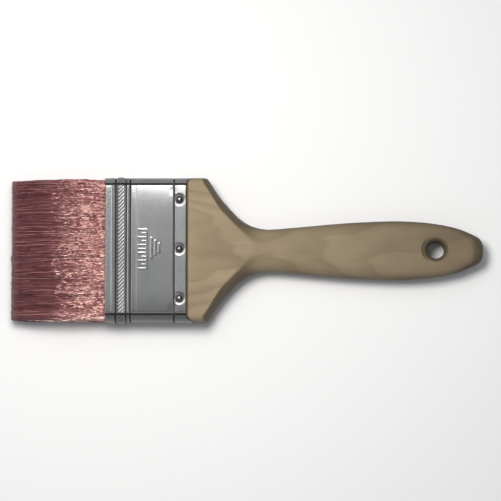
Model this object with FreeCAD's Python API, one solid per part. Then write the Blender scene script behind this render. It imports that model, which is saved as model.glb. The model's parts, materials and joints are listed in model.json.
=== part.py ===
"""Flat paint brush, 3 in wide: wooden beavertail handle, steel ferrule, resin-set filament banks.

Frame: +Z up with the brush lying on its back face, +X along the handle towards the tail, Y across the
width. The origin is the centre of the footprint, on the surface that the brush lies on. Millimetres.
"""

import FreeCAD, Part
import math
import os

Vector = FreeCAD.Vector
X_AXIS, Y_AXIS, Z_AXIS = Vector(1, 0, 0), Vector(0, 1, 0), Vector(0, 0, 1)
OVERLAP, CLEAR = 1.0, 10.0        # how far tools run into a neighbour, and past what they cut
PARALLEL = 0.99                   # cosine above which an edge counts as running along an axis

# ---- driving dimensions -------------------------------------------------------------------------
TOTAL_LENGTH = 250.2
WIDTH = 76.2                      # outside of the ferrule, the brush's nominal 3 in
THICKNESS = 17.0                  # outside of the ferrule and of the handle's shoulder
CORNER = 3.6                      # outside corner radius of the ferrule and the shoulder
SHEET = 0.35                      # ferrule sheet
ROPE_HEIGHT = 0.5                 # the rope bead stands this far out, so it is what the brush lies on
AXIS_HEIGHT = THICKNESS / 2 + ROPE_HEIGHT

TIP_X = -TOTAL_LENGTH / 2
TAIL_X = TOTAL_LENGTH / 2
MOUTH_X = -74.6                   # ferrule edge at the filaments
FACE_END_X = -31.5                # ferrule edge at the handle, on the two broad faces
TAB_END_X = -28.4                 # the same edge on the two narrow sides
EDGE_GAP = 0.4                    # open line between the ferrule's edge and the wood

# centre, half width and height of each rolled line round the ferrule; a groove has a negative height
MOUTH_RIDGE = (-70.0, 0.8, 0.35)
MOUTH_GROOVE = (-68.75, 0.45, -0.3)
ROPE_BEAD = (-66.1, 2.1, ROPE_HEIGHT)
THIN_GROOVE = (-63.55, 0.4, -0.25)
THIN_RIDGE = (-62.5, 0.6, 0.35)
PANEL_GROOVE = (-61.3, 0.55, -0.4)
NAIL_GROOVE = (-38.2, 0.7, -0.4)
ROLLED_LINES = (MOUTH_RIDGE, MOUTH_GROOVE, ROPE_BEAD, THIN_GROOVE, THIN_RIDGE, PANEL_GROOVE, NAIL_GROOVE)
SEAM_WIDTH, SEAM_HEIGHT = 3.2, 0.3

# nails, three on each broad face
NAIL_X = -35.4
NAIL_SPACING = 26.2
NAIL_SHANK_R, NAIL_LENGTH = 0.7, 7.2
NAIL_POINT_R, NAIL_POINT_LENGTH = 0.15, 1.2
NAIL_HEAD_R, NAIL_HEAD_HEIGHT = 1.6, 0.75
DIMPLE_R, DIMPLE_FLOOR_R, DIMPLE_DEPTH = 2.5, 1.75, 0.75
FIT_GAP = 0.02

# inside the ferrule
TONGUE_X = -46.0
TONGUE_REAR_X = -22.6             # the tongue's bar runs this far into the shoulder
WAIST_REACH = 1.5                 # half length of the tongue's waist, in half widths of the nail groove
RESIN_X = -60.0
ROOT_X = -52.0                    # end of the filaments and spacers, inside the resin
SPACER_FRONT_X = -72.5
SPACER_THICKNESS, SPACER_WIDTH = 2.0, 66.0
BANK_WIDTH, BANK_THICKNESS, BANK_CORNER = 74.4, 15.2, 2.5
MIDDLE_BANK = 3.2                 # thickness of the bank between the two spacers

# free filaments
FLEX_X = -83.0                    # line that the free filaments bend about
FLEX_R = 8.0
FLEX_GAP = 0.3
LIP_X = -79.0                     # the fixed roots end here
TUFT_WIDTH = 75.0
TUFT_CORNER = 3.0
BELLY = (-94.0, 8.4)              # x and half thickness where the tuft is fullest
TAPER = (-110.0, 6.9)
CHISEL = (-122.0, 4.4)            # the trimmed tip starts here
CHISEL_SLOPE = 0.3                # slope of the broad faces where they reach it
RESERVOIR_END_X = -104.0
BANK_GAP = 0.03                   # half the open line between the banks past the reservoir

# handle: x, half width of the plan outline
OUTLINE = (
    (-33.0, 56.0), (-20.4, 38.2), (-14.0, 28.4), (-8.7, 22.1), (-3.4, 16.8), (1.9, 13.4), (7.1, 11.8),
    (12.4, 11.3), (28.3, 12.5), (49.5, 14.4), (66.0, 15.35), (79.0, 15.7), (92.0, 15.1), (103.0, 13.7),
    (112.0, 11.6), (118.5, 9.0), (123.0, 6.6), (TAIL_X, 4.0),
)
# handle: x, half thickness of the oval section before its faces are planed flat
CROWN = (
    (-33.0, 19.0), (-20.4, 15.0), (-14.0, 12.6), (-8.7, 11.6), (-3.4, 10.3), (1.9, 8.8), (7.1, 7.7),
    (12.4, 7.1), (28.3, 6.9), (49.5, 7.3), (79.0, 7.2), (103.0, 6.3), (118.5, 5.0), (TAIL_X, 2.8),
)
# handle: x, power of the oval; 2 is an ellipse, and more is flatter
OVAL_POWER = ((-33.0, 2.0), (1.9, 2.1), (49.5, 2.4), (79.0, 2.5), (103.0, 2.8), (TAIL_X, 2.5))
SHOULDER_STEP, GRIP_STEP = 2.6, 6.5   # spacing of the handle's sections
NECK_X, TAIL_ROUND_X = 12.4, TAIL_X - 9.0
SECTION_POINTS = 40

HOLE_X = 99.9
HOLE_R = 4.5
HOLE_RIM = 2.4                    # radius of the rounded rim on each face
HOLE_WALL = 7.5                   # straight wall between the two rims
RIM_FLARE = 4.0                   # the hole's tool widens by this much above each rim


def smooth(x, knots):
    """Value at x of a smooth curve through (x, value) knots."""
    last = len(knots) - 2
    i = max(k for k in range(last + 1) if k == 0 or knots[k][0] <= x)
    slopes = []
    for k in (i, i + 1):
        a, b = knots[max(k - 1, 0)], knots[min(k + 1, last + 1)]
        slopes.append((b[1] - a[1]) / (b[0] - a[0]))
    (x0, y0), (x1, y1) = knots[i], knots[i + 1]
    span = x1 - x0
    t = (x - x0) / span
    return (
        y0 * (1 + 2 * t) * (1 - t) ** 2 + slopes[0] * span * t * (1 - t) ** 2
        + y1 * t * t * (3 - 2 * t) - slopes[1] * span * t * t * (1 - t)
    )


def box(x0, x1, y0, y1, z0, z1):
    return Part.makeBox(x1 - x0, y1 - y0, z1 - z0, Vector(x0, y0, z0))


def rounded_bar(x0, x1, width, thickness, corner):
    """Bar along X with rounded long edges, centred on the brush's axis."""
    bar = box(x0, x1, -width / 2, width / 2, -thickness / 2, thickness / 2)
    long_edges = [e for e in bar.Edges if abs(e.tangentAt(e.FirstParameter).x) > PARALLEL]
    return bar.makeFillet(corner, long_edges)


def polygon(points):
    return Part.makePolygon([Vector(*p) for p in points] + [Vector(*points[0])])


# ---- ferrule ------------------------------------------------------------------------------------
def rolled_profile(offset):
    """(x, height) points of the sheet's surface from the mouth to the tabs."""
    points = [(MOUTH_X, offset)]
    for centre, half, height in ROLLED_LINES:
        points += [
            (centre - half, offset), (centre - half / 2, offset + height),
            (centre + half / 2, offset + height), (centre + half, offset),
        ]
    return points + [(TAB_END_X, offset)]


def sleeve():
    """Sheet sleeve with its rolled lines: four flat sides and four turned corners."""
    profile = rolled_profile(0.0) + rolled_profile(-SHEET)[::-1]
    flat_y, flat_z = WIDTH / 2 - CORNER, THICKNESS / 2 - CORNER
    pieces = []
    for side in (1, -1):
        broad = [(x, -flat_y, side * (THICKNESS / 2 + h)) for x, h in profile]
        pieces.append(Part.Face(polygon(broad)).extrude(Vector(0, 2 * flat_y, 0)))
        narrow = [(x, side * (WIDTH / 2 + h), -flat_z) for x, h in profile]
        pieces.append(Part.Face(polygon(narrow)).extrude(Vector(0, 0, 2 * flat_z)))
    for side_y in (1, -1):
        for side_z in (1, -1):
            centre = Vector(0, side_y * flat_y, side_z * flat_z)
            corner = [(x, centre.y, centre.z + side_z * (CORNER + h)) for x, h in profile]
            turn = -90 * side_y * side_z
            pieces.append(Part.Face(polygon(corner)).revolve(centre, X_AXIS, turn))
    return pieces[0].multiFuse(pieces[1:]).removeSplitter()


def plan_edge(x, length):
    """Block whose front corners are rounded in plan, as the ferrule's edge at the handle is."""
    block = box(x, x + length, -WIDTH / 2, WIDTH / 2, -THICKNESS, THICKNESS)
    front = [
        e for e in block.Edges
        if abs(e.tangentAt(e.FirstParameter).z) > PARALLEL and e.CenterOfMass.x < x + OVERLAP
    ]
    return block.makeFillet(CORNER, front)


def nail_places():
    """(name, y, side) of each nail; side is 1 on the front face and -1 on the back."""
    for face, side in (("front", 1), ("back", -1)):
        for row, y in enumerate((-NAIL_SPACING, 0.0, NAIL_SPACING), start=1):
            yield f"nail_{face}_{row}", y, side


def dimple(y, side, grow=0.0):
    """Cone of one nail's dimple, grown outwards and downwards by grow."""
    face = Vector(NAIL_X, y, side * THICKNESS / 2)
    return Part.makeCone(
        DIMPLE_R + grow, DIMPLE_FLOOR_R + grow, DIMPLE_DEPTH + grow, face, Z_AXIS * -side
    )


def make_ferrule():
    shell = sleeve().cut(plan_edge(FACE_END_X, 2 * CLEAR))
    seam = box(
        PANEL_GROOVE[0], NAIL_GROOVE[0], -WIDTH / 2 - SEAM_HEIGHT, -WIDTH / 2 + SHEET / 2,
        -SEAM_WIDTH / 2, SEAM_WIDTH / 2,
    )
    shell = shell.fuse(seam)
    for _, y, side in nail_places():
        dish = dimple(y, side, SHEET).cut(dimple(y, side))
        shank = Part.makeCylinder(
            NAIL_SHANK_R + FIT_GAP, THICKNESS / 2, Vector(NAIL_X, y, side * THICKNESS / 2),
            Z_AXIS * -side,
        )
        shell = shell.cut(dimple(y, side, SHEET)).fuse(dish).cut(shank)
    return shell.removeSplitter()


def make_nail(y, side):
    """Short brad with a domed head that sits in its dimple."""
    floor = Vector(NAIL_X, y, side * (THICKNESS / 2 - DIMPLE_DEPTH))
    straight = NAIL_LENGTH - NAIL_POINT_LENGTH
    shank = Part.makeCylinder(NAIL_SHANK_R, straight, floor, Z_AXIS * -side)
    point = Part.makeCone(
        NAIL_SHANK_R, NAIL_POINT_R, NAIL_POINT_LENGTH, floor + Z_AXIS * (-side * straight), Z_AXIS * -side
    )
    dome_r = (NAIL_HEAD_R ** 2 + NAIL_HEAD_HEIGHT ** 2) / (2 * NAIL_HEAD_HEIGHT)
    ball = Part.makeSphere(dome_r, floor + Z_AXIS * (side * (NAIL_HEAD_HEIGHT - dome_r)))
    head = ball.common(Part.makeCylinder(NAIL_HEAD_R + OVERLAP, 2 * OVERLAP, floor, Z_AXIS * side))
    return shank.fuse([point, head]).removeSplitter()


# ---- handle -------------------------------------------------------------------------------------
def oval(x):
    """Closed section of the shaped handle at x."""
    half_width, crown, power = smooth(x, OUTLINE), smooth(x, CROWN), smooth(x, OVAL_POWER)
    points = []
    for k in range(SECTION_POINTS):
        angle = 2 * math.pi * k / SECTION_POINTS
        c, s = math.cos(angle), math.sin(angle)
        points.append(Vector(
            x,
            half_width * math.copysign(abs(c) ** (2 / power), c),
            crown * math.copysign(abs(s) ** (2 / power), s),
        ))
    curve = Part.BSplineCurve()
    curve.interpolate(points, True)
    return Part.Wire([curve.toShape()])


def stations():
    """x of each section, closer together where the shoulder narrows."""
    places, x = [], OUTLINE[0][0]
    while x < TAIL_X - OVERLAP:
        places.append(x)
        x += SHOULDER_STEP if x < NECK_X or x > TAIL_ROUND_X else GRIP_STEP
    return places + [TAIL_X]


def tongue():
    """Part of the handle inside the ferrule, waisted under the ferrule's pressed groove."""
    width, thick = WIDTH - 2 * SHEET - 2 * FIT_GAP, THICKNESS - 2 * SHEET - 2 * FIT_GAP
    corner = CORNER - SHEET - FIT_GAP
    centre, half, depth = NAIL_GROOVE
    reach = WAIST_REACH * half
    waist = rounded_bar(centre - reach, centre + reach, width + 2 * depth, thick + 2 * depth, corner)
    rear = rounded_bar(centre + reach, TONGUE_REAR_X, width, thick, corner)
    front = rounded_bar(TONGUE_X, centre - reach, width, thick, corner)
    return front.fuse([waist, rear])


def hang_hole():
    """Tool that cuts the hole with a rounded rim on both faces."""
    half, top = HOLE_WALL / 2, THICKNESS
    rim_r, rim_z = HOLE_R + HOLE_RIM, half + HOLE_RIM
    bend = HOLE_RIM * (1 - math.sqrt(0.5))

    def rim(sign):
        return Part.Arc(
            Vector(HOLE_R, 0, sign * half), Vector(HOLE_R + bend, 0, sign * (rim_z - bend)),
            Vector(rim_r, 0, sign * rim_z),
        ).toShape()

    def line(a, b):
        return Part.makeLine(Vector(a[0], 0, a[1]), Vector(b[0], 0, b[1]))

    flare = rim_r + RIM_FLARE
    edges = [
        line((0, -top), (flare, -top)), line((flare, -top), (rim_r, -rim_z)), rim(-1),
        line((HOLE_R, -half), (HOLE_R, half)), rim(1), line((rim_r, rim_z), (flare, top)),
        line((flare, top), (0, top)), line((0, top), (0, -top)),
    ]
    tool = Part.Face(Part.Wire(Part.__sortEdges__(edges))).revolve(Vector(), Z_AXIS, 360)
    tool.translate(Vector(HOLE_X, 0, 0))
    return tool


def make_handle():
    shaped = Part.makeLoft([oval(x) for x in stations()], True, False)
    blank = rounded_bar(FACE_END_X, TAIL_X + CLEAR, WIDTH, THICKNESS, CORNER)
    wood = shaped.common(blank).common(plan_edge(FACE_END_X + EDGE_GAP, TOTAL_LENGTH))
    wood = wood.fuse(tongue()).cut(hang_hole())
    for _, y, side in nail_places():
        floor = Vector(NAIL_X, y, side * THICKNESS / 2)
        pilot = Part.makeCylinder(
            NAIL_SHANK_R + FIT_GAP, NAIL_LENGTH + DIMPLE_DEPTH + FIT_GAP, floor, Z_AXIS * -side
        )
        wood = wood.cut(dimple(y, side, SHEET + FIT_GAP)).cut(pilot)
    return wood.removeSplitter()


# ---- filaments, spacers and setting -------------------------------------------------------------
def spacer(side, x0=SPACER_FRONT_X, x1=ROOT_X):
    inner = MIDDLE_BANK / 2
    low, high = sorted((side * inner, side * (inner + SPACER_THICKNESS)))
    return box(x0, x1, -SPACER_WIDTH / 2, SPACER_WIDTH / 2, low, high)


def root_banks():
    """The filaments from the resin to the lips, as front, middle and back banks."""
    bundle = rounded_bar(LIP_X, ROOT_X, BANK_WIDTH, BANK_THICKNESS, BANK_CORNER)
    seat = Part.makeCylinder(FLEX_R + FLEX_GAP, 2 * WIDTH, Vector(FLEX_X, -WIDTH, 0), Y_AXIS)
    bundle = bundle.cut(seat)
    split = MIDDLE_BANK / 2 + SPACER_THICKNESS
    middle = bundle.common(box(LIP_X, ROOT_X, -WIDTH, WIDTH, -split, split))
    return {
        "front": bundle.common(box(LIP_X, ROOT_X, -WIDTH, WIDTH, split, THICKNESS)),
        "middle": middle.cut([spacer(s, LIP_X - OVERLAP, ROOT_X) for s in (1, -1)]),
        "back": bundle.common(box(LIP_X, ROOT_X, -WIDTH, WIDTH, -THICKNESS, -split)),
    }


def make_resin(roots):
    block = rounded_bar(
        RESIN_X, TONGUE_X, WIDTH - 2 * SHEET - 2 * FIT_GAP, THICKNESS - 2 * SHEET - 2 * FIT_GAP,
        CORNER - SHEET,
    )
    return block.cut(list(roots.values()) + [spacer(1), spacer(-1)])


def free_banks():
    """The filaments that bend, as front, middle and back banks with the reservoir between them."""

    def side_curve(sign):
        curve = Part.BSplineCurve()
        places = ((FLEX_X, FLEX_R), BELLY, TAPER, CHISEL)
        curve.interpolate(
            Points=[Vector(x, 0, sign * half) for x, half in places],
            InitialTangent=Vector(-1, 0, 0), FinalTangent=Vector(-1, 0, -sign * CHISEL_SLOPE), Scale=True,
        )
        return curve.toShape()

    knuckle = Part.Arc(
        Vector(FLEX_X, 0, FLEX_R), Vector(FLEX_X + FLEX_R, 0, 0), Vector(FLEX_X, 0, -FLEX_R)
    ).toShape()
    chisel = Part.Arc(
        Vector(CHISEL[0], 0, CHISEL[1]), Vector(TIP_X, 0, 0), Vector(CHISEL[0], 0, -CHISEL[1])
    ).toShape()
    outline = Part.Wire(Part.__sortEdges__([knuckle, side_curve(1), chisel, side_curve(-1)]))
    tuft = Part.Face(outline).extrude(Vector(0, 2 * WIDTH, 0))
    tuft.translate(Vector(0, -WIDTH, 0))
    tuft = tuft.common(rounded_bar(TIP_X - OVERLAP, LIP_X + 2 * CLEAR, TUFT_WIDTH, THICKNESS, TUFT_CORNER))
    root_z, tip_z = MIDDLE_BANK / 2 + SPACER_THICKNESS / 2, CHISEL[1] / 3
    close_z = root_z + (tip_z - root_z) * (FLEX_X - RESERVOIR_END_X) / (FLEX_X - TIP_X)
    wide, narrow = SPACER_THICKNESS / 2, BANK_GAP
    root_x, end_x = LIP_X + CLEAR, TIP_X - OVERLAP
    gaps = []
    for side in (1, -1):
        gap = polygon([
            (root_x, -WIDTH, side * root_z + wide), (root_x, -WIDTH, side * root_z - wide),
            (RESERVOIR_END_X, -WIDTH, side * close_z - narrow), (end_x, -WIDTH, side * tip_z - narrow),
            (end_x, -WIDTH, side * tip_z + narrow), (RESERVOIR_END_X, -WIDTH, side * close_z + narrow),
        ])
        gaps.append(Part.Face(gap).extrude(Vector(0, 2 * WIDTH, 0)))
    banks = sorted(tuft.cut(gaps).Solids, key=lambda s: -s.CenterOfMass.z)
    return dict(zip(("front", "middle", "back"), banks, strict=True))


def main():
    os.makedirs("parts", exist_ok=True)
    roots = root_banks()
    nodes = {
        "handle": make_handle(),
        "ferrule": make_ferrule(),
        "resin_setting": make_resin(roots),
        "spacer_front": spacer(1),
        "spacer_back": spacer(-1),
    }
    nodes.update({f"filament_root_{name}": shape for name, shape in roots.items()})
    nodes.update({f"filament_bank_{name}": shape for name, shape in free_banks().items()})
    nodes.update({name: make_nail(y, side) for name, y, side in nail_places()})
    for name, shape in nodes.items():
        shape = shape.copy()
        shape.translate(Vector(0, 0, AXIS_HEIGHT))
        shape.exportStep(f"parts/{name}.step")
        size = shape.BoundBox
        print(
            f"{name}: {len(shape.Solids)} solid, valid {shape.isValid()}, {shape.Volume:.1f} mm3, "
            f"x {size.XMin:.2f}..{size.XMax:.2f} y {size.YMin:.2f}..{size.YMax:.2f} "
            f"z {size.ZMin:.2f}..{size.ZMax:.2f}"
        )


main()
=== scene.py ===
"""Looks of a flat paint brush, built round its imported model: rolled steel ferrule, bare wooden
handle and thousands of tapered filaments. Lengths inside the functions are in millimetres from the
brush's own axis."""

import json
import math

import bpy
import numpy as np
from bpy.props import FloatProperty, FloatVectorProperty, IntProperty, PointerProperty
from bpy.types import Operator, Panel, PropertyGroup
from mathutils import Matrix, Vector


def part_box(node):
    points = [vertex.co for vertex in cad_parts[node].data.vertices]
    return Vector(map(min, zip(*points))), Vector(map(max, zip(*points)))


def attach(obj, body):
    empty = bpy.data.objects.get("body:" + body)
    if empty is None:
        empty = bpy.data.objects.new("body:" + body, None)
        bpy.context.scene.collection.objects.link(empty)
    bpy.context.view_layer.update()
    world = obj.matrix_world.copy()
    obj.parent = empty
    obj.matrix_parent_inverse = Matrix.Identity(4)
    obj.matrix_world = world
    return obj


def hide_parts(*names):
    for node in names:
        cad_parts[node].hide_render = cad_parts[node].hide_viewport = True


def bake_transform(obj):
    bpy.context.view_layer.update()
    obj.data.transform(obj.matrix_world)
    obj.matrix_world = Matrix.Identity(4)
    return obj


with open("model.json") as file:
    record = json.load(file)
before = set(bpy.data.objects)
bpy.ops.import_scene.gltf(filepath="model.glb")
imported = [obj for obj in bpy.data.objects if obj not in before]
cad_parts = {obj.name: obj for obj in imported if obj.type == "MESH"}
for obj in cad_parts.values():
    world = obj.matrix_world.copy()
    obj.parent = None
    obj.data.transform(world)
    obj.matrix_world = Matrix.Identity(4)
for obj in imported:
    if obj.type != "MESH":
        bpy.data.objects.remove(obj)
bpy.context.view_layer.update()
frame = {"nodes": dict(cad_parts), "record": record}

bl_info = {
    "name": "Flat Paint Brush",
    "version": (1, 0, 0),
    "blender": (4, 5, 0),
    "location": "3D View > Sidebar > Brush",
    "description": "Builds a flat paint brush: rolled ferrule, shaped handle and separate filaments",
    "category": "Object",
}

MM = 0.001

# ---- places and sizes in millimetres, from the frame where the solids set them --------------------
FERRULE_LOW, FERRULE_HIGH = (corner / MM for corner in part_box("ferrule"))
AXIS_Z = (FERRULE_LOW.z + FERRULE_HIGH.z) / 2
MOUTH_X, TAB_END_X = FERRULE_LOW.x, FERRULE_HIGH.x
ROPE_HEIGHT = 0.5
HALF_WIDTH = FERRULE_HIGH.y - ROPE_HEIGHT
HALF_THICK = (FERRULE_HIGH.z - FERRULE_LOW.z) / 2 - ROPE_HEIGHT
CORNER, SHEET = 3.6, 0.35
FACE_HALF = HALF_WIDTH - CORNER   # half width of the broad faces between their rounded corners
FACE_END_X = TAB_END_X - CORNER   # the tabs of the narrow sides reach past the broad faces
TONGUE_X, TAIL_X = (corner.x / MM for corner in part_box("handle"))
TIP_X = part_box("filament_bank_middle")[0].x / MM
NAILS = [name for name in sorted(frame["nodes"]) if name.startswith("nail_")]
FAR_AWAY = 99.0

# hang hole: its wall, the radius of its rim, and the rings of faces that lead to it
HOLE = next(m for m in frame["record"]["mounts"] if m["name"] == "hang_hole")
HOLE_X, HOLE_R = HOLE["pos_m"][0] / MM, HOLE["dims"]["r_mm"]
HOLE_WALL, HOLE_RIM = HOLE["dims"]["length_mm"], 2.4
HOLE_RING_R, HOLE_PATCH_REACH = 8.6, 9.6

# centre, half width and height of each line rolled round the ferrule; a groove has a negative height
ROLLED_LINES = {
    "mouth ridge": (-70.3, 0.9, 0.3),
    "mouth groove": (-69.0, 0.72, -0.36),
    "thin groove": (-63.5, 0.55, -0.3),
    "thin ridge": (-62.4, 0.8, 0.13),
    "panel groove": (-61.3, 0.68, -0.36),
    "nail groove": (-38.2, 0.66, -0.36),
}
ROPE_X, ROPE_HALF = -66.1, 2.15
PANEL_START_X = ROLLED_LINES["panel groove"][0]
NAIL_GROOVE_X = ROLLED_LINES["nail groove"][0]
NAILS_FROM_X = NAIL_GROOVE_X + 1.0
SEAM_HALF, SEAM_RISE = 1.6, 0.3
MARK_HEIGHT = 0.058

# handle: x with the half width, the half thickness before planing, and the power of the oval section
OUTLINE = (
    (-33.0, 56.0), (-20.4, 38.2), (-14.0, 28.4), (-8.7, 22.1), (-3.4, 16.8), (1.9, 13.4), (7.1, 11.8),
    (12.4, 11.3), (28.3, 12.5), (49.5, 14.4), (66.0, 15.35), (79.0, 15.7), (92.0, 15.1), (103.0, 13.7),
    (112.0, 11.6), (118.5, 9.0), (123.0, 6.6), (TAIL_X, 4.0),
)
CROWN = (
    (-33.0, 19.0), (-20.4, 15.0), (-14.0, 12.6), (-8.7, 11.6), (-3.4, 10.3), (1.9, 8.8), (7.1, 7.7),
    (12.4, 7.1), (28.3, 6.9), (49.5, 7.3), (79.0, 7.2), (103.0, 6.3), (118.5, 5.0), (TAIL_X, 2.8),
)
OVAL_POWER = ((-33.0, 2.0), (1.9, 2.1), (49.5, 2.4), (79.0, 2.5), (103.0, 2.8), (TAIL_X, 2.5))

# free filaments: x with the tuft's half thickness and half width, and the radius of its corners
ROOT_END_X = -56.0
TUFT_THICK = (
    (TIP_X, 2.9), (-122.0, 4.0), (-110.0, 6.6), (-94.0, 8.2), (-83.0, 8.1), (MOUTH_X, 7.85),
    (ROOT_END_X, 7.8),
)
TUFT_WIDE = ((TIP_X, 36.8), (-110.0, 37.1), (-94.0, 37.2), (MOUTH_X, 36.9), (ROOT_END_X, 36.9))
TUFT_CORNER = 3.0
STRAND_ROOT_X = MOUTH_X + 2.0
OUTER_SIDES, INNER_SIDES = 4, 3


# ---- shader maths --------------------------------------------------------------------------------
class Value:
    """An output socket that takes part in Python arithmetic; each operation adds a Math node."""

    def __init__(self, maker, socket):
        self.maker = maker
        self.socket = socket

    def math(self, operation, *others, first=None):
        inputs = (self if first is None else first, *others)
        return self.maker.add("ShaderNodeMath", {"operation": operation}, dict(enumerate(inputs)))

    def __add__(self, other):
        return self.math("ADD", other)

    def __sub__(self, other):
        return self.math("SUBTRACT", other)

    def __rsub__(self, other):
        return self.math("SUBTRACT", self, first=other)

    def __mul__(self, other):
        return self.math("MULTIPLY", other)

    def __truediv__(self, other):
        return self.math("DIVIDE", other)

    def __rtruediv__(self, other):
        return self.math("DIVIDE", self, first=other)

    def __pow__(self, other):
        return self.math("POWER", other)

    def __rpow__(self, other):
        return self.math("POWER", self, first=other)

    __radd__, __rmul__ = __add__, __mul__

    def fraction(self):
        return self.math("FRACT")

    def step(self, low, high):
        """0 below low and 1 above high, with a smooth change between them."""
        return self.maker.add(
            "ShaderNodeMapRange", {"interpolation_type": "SMOOTHSTEP"},
            {"Value": self, "From Min": low, "From Max": high},
        )


class NodeMaker:
    """Adds nodes to the tree of one material or world."""

    def __init__(self, tree):
        self.tree = tree

    def add(self, kind, settings=None, sockets=None, output=0):
        """A node of that type: its settings are set first, and then its sockets' values or links."""
        node = self.tree.nodes.new(kind)
        for name, value in (settings or {}).items():
            setattr(node, name, value)
        for name, value in (sockets or {}).items():
            self.feed(node.inputs[name], value)
        return Value(self, node.outputs[output])

    def feed(self, socket, value):
        if isinstance(value, Value):
            self.tree.links.new(value.socket, socket)
        elif hasattr(value, "__len__") and socket.type == "RGBA":
            socket.default_value = (*value[:3], 1.0)
        else:
            socket.default_value = value


class Finish(NodeMaker):
    """A material under construction."""

    def __init__(self, name):
        self.material = bpy.data.materials.new(name)
        self.material.use_nodes = True
        super().__init__(self.material.node_tree)
        self.shader = self.tree.nodes["Principled BSDF"]

    def set(self, **sockets):
        """Sets or links the shader's own sockets; an underscore stands for a space."""
        for name, value in sockets.items():
            self.feed(self.shader.inputs[name.replace("_", " ")], value)

    def place(self, scale=(1.0, 1.0, 1.0), shift=(0.0, 0.0, 0.0)):
        """Coordinates on the piece in millimetres, scaled along each axis and shifted."""
        own = self.add("ShaderNodeTexCoord", output="Object")
        size = [s / MM for s in scale]
        return self.add(
            "ShaderNodeVectorMath", {"operation": "MULTIPLY_ADD"}, {0: own, 1: size, 2: shift}
        )

    def axes(self, vector):
        split = self.add("ShaderNodeSeparateXYZ", sockets={0: vector}).socket.node
        return [Value(self, socket) for socket in split.outputs]

    def noise(self, vector, detail=2.0, roughness=0.5):
        """Noise from 0 to 1 about 0.5."""
        return self.add(
            "ShaderNodeTexNoise", {"normalize": True},
            {"Vector": vector, "Scale": 1.0, "Detail": detail, "Roughness": roughness},
        )

    def mix(self, share, first, second):
        """Colour between first and second."""
        node = self.add(
            "ShaderNodeMix", {"data_type": "RGBA", "clamp_factor": True}, {"Factor": share},
        ).socket.node
        self.feed(node.inputs[6], first)
        self.feed(node.inputs[7], second)
        return Value(self, node.outputs[2])

    def attribute(self, name):
        """A value that the mesh stores at its points."""
        return self.add("ShaderNodeAttribute", {"attribute_name": name}, output="Fac")

    def bump(self, height, depth, strength=1.0):
        """Normal for a height from 0 to 1 that is depth millimetres tall."""
        return self.add(
            "ShaderNodeBump", {},
            {"Strength": strength, "Distance": depth * MM, "Height": height}, output="Normal",
        )


# ---- mesh helpers --------------------------------------------------------------------------------
def smooth_step(value, low, high):
    t = np.clip((value - low) / (high - low), 0.0, 1.0)
    return t * t * (3 - 2 * t)


def soft_least(a, b, softness):
    """The smaller of a and b, rounded over where they meet."""
    return -softness * np.logaddexp(-a / softness, -b / softness)


def curve_through(x, knots):
    """Smooth curve through (x, value) knots, read at every x."""
    knot_x, knot_y = (np.array(column, float) for column in zip(*knots))
    slope = np.gradient(knot_y, knot_x)
    slope[1:-1] = (knot_y[2:] - knot_y[:-2]) / (knot_x[2:] - knot_x[:-2])
    i = np.clip(np.searchsorted(knot_x, x, side="right") - 1, 0, len(knot_x) - 2)
    span = knot_x[i + 1] - knot_x[i]
    t = (x - knot_x[i]) / span
    return (
        knot_y[i] * (1 + 2 * t) * (1 - t) ** 2 + slope[i] * span * t * (1 - t) ** 2
        + knot_y[i + 1] * t * t * (3 - 2 * t) - slope[i + 1] * span * t * t * (1 - t)
    )


def bump_line(x, centre, half):
    """1 on a line's centre and 0 beyond its half width, rounded like rolled sheet."""
    return np.cos(np.clip((x - centre) / half, -1.0, 1.0) * math.pi / 2) ** 2


def spaced(*stops):
    """Places from the first stop on: each later stop is (end, spacing)."""
    places = [stops[0]]
    for end, spacing in stops[1:]:
        count = max(1, round(abs(end - places[-1]) / spacing))
        places += list(np.linspace(places[-1], end, count + 1)[1:])
    return np.array(places)


def new_piece(name, points, faces, material):
    """Object from points in millimetres about the brush's axis."""
    mesh = bpy.data.meshes.new(name)
    placed = np.asarray(points, float).reshape(-1, 3) + (0.0, 0.0, AXIS_Z)
    mesh.from_pydata((placed * MM).tolist(), [], faces)
    mesh.update()
    mesh.polygons.foreach_set("use_smooth", [True] * len(mesh.polygons))
    piece = bpy.data.objects.new(name, mesh)
    bpy.context.scene.collection.objects.link(piece)
    mesh.materials.append(material)
    return piece


def store(piece, name, values):
    """Keeps one number for each point, which the material reads."""
    layer = piece.data.attributes.get(name) or piece.data.attributes.new(name, "FLOAT", "POINT")
    layer.data.foreach_set("value", np.asarray(values, np.float32).ravel())


def wall(first, second):
    """Quads between two equal closed rows of point numbers."""
    following = [*range(1, len(first)), 0]
    return [(first[k], first[j], second[j], second[k]) for k, j in enumerate(following)]


def bake_map(piece, corners):
    """UV map for baking the finish, one pair for each face corner."""
    layer = piece.data.uv_layers.new(name="OFBake")
    layer.uv.foreach_set("vector", np.asarray(corners, np.float32).ravel())


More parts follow.
